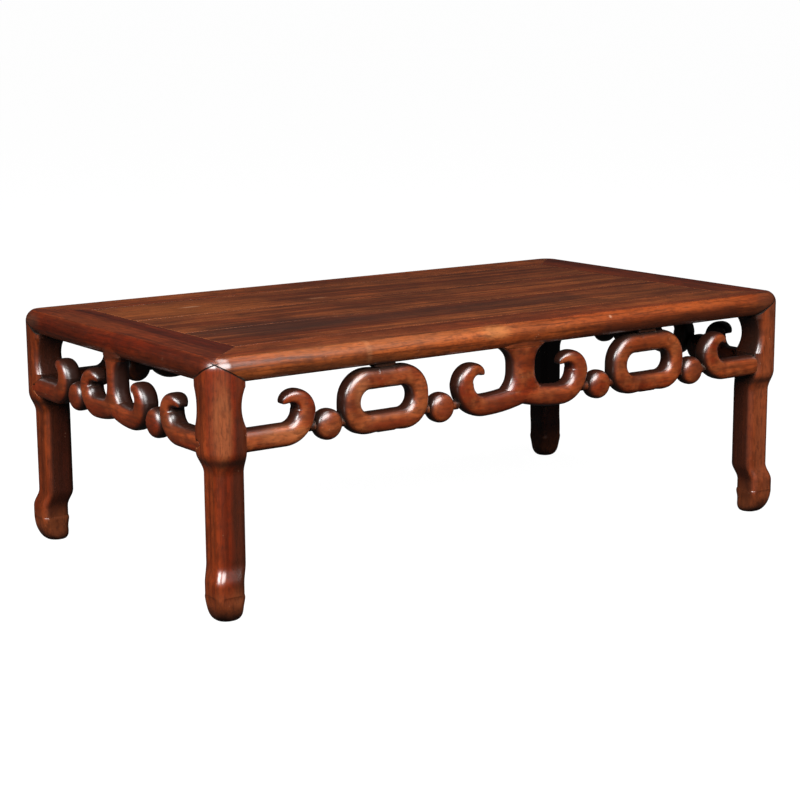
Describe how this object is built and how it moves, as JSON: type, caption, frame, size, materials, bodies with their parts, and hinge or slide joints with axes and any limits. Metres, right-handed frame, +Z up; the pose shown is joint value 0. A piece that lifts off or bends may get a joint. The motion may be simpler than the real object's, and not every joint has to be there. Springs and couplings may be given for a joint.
{
  "type": "kang table",
  "caption": "Low rectangular hardwood table with a mitred frame-and-panel top, hoof-like feet and openwork aprons of carved scrolls, oval rings and balls.",
  "frame": {"origin": "on the floor under the middle of the top", "axes": "+X along the table, +Y from its front to its back, +Z up"},
  "size_m": [0.9002, 0.502, 0.308],
  "materials": {
    "frame_wood": "waxed semi-gloss red-brown hardwood",
    "panel_wood": "waxed semi-gloss dark brown hardwood with straight grain",
    "leg_wood": "waxed semi-gloss red-brown hardwood",
    "apron_wood": "waxed semi-gloss red-brown hardwood, darker in its hollows",
    "hidden_wood": "plain oiled hardwood"
  },
  "bodies": {
    "root": {"front_scroll_bar_left": "apron_wood", "front_ball_outer_left": "apron_wood", "front_ring_left": "apron_wood", "front_ball_inner_left": "apron_wood", "front_centre_scroll": "apron_wood", "front_ball_inner_right": "apron_wood", "front_ring_right": "apron_wood", "front_ball_outer_right": "apron_wood", "front_scroll_bar_right": "apron_wood", "front_dowels": "hidden_wood", "back_scroll_bar_left": "apron_wood", "back_ball_outer_left": "apron_wood", "back_ring_left": "apron_wood", "back_ball_inner_left": "apron_wood", "back_centre_scroll": "apron_wood", "back_ball_inner_right": "apron_wood", "back_ring_right": "apron_wood", "back_ball_outer_right": "apron_wood", "back_scroll_bar_right": "apron_wood", "back_dowels": "hidden_wood", "left_scroll_bar_left": "apron_wood", "left_ball_left": "apron_wood", "left_centre_scroll": "apron_wood", "left_ball_right": "apron_wood", "left_scroll_bar_right": "apron_wood", "left_dowels": "hidden_wood", "right_scroll_bar_left": "apron_wood", "right_ball_left": "apron_wood", "right_centre_scroll": "apron_wood", "right_ball_right": "apron_wood", "right_scroll_bar_right": "apron_wood", "right_dowels": "hidden_wood", "leg_front_left": "leg_wood", "leg_front_right": "leg_wood", "leg_back_left": "leg_wood", "leg_back_right": "leg_wood", "front_long_rail": "frame_wood", "back_long_rail": "frame_wood", "left_end_rail": "frame_wood", "right_end_rail": "frame_wood", "panel_board_front": "panel_wood", "panel_board_middle": "panel_wood", "panel_board_back": "panel_wood", "dovetail_batten_left": "hidden_wood", "dovetail_batten_centre": "hidden_wood", "dovetail_batten_right": "hidden_wood"}
  },
  "joints": []
}
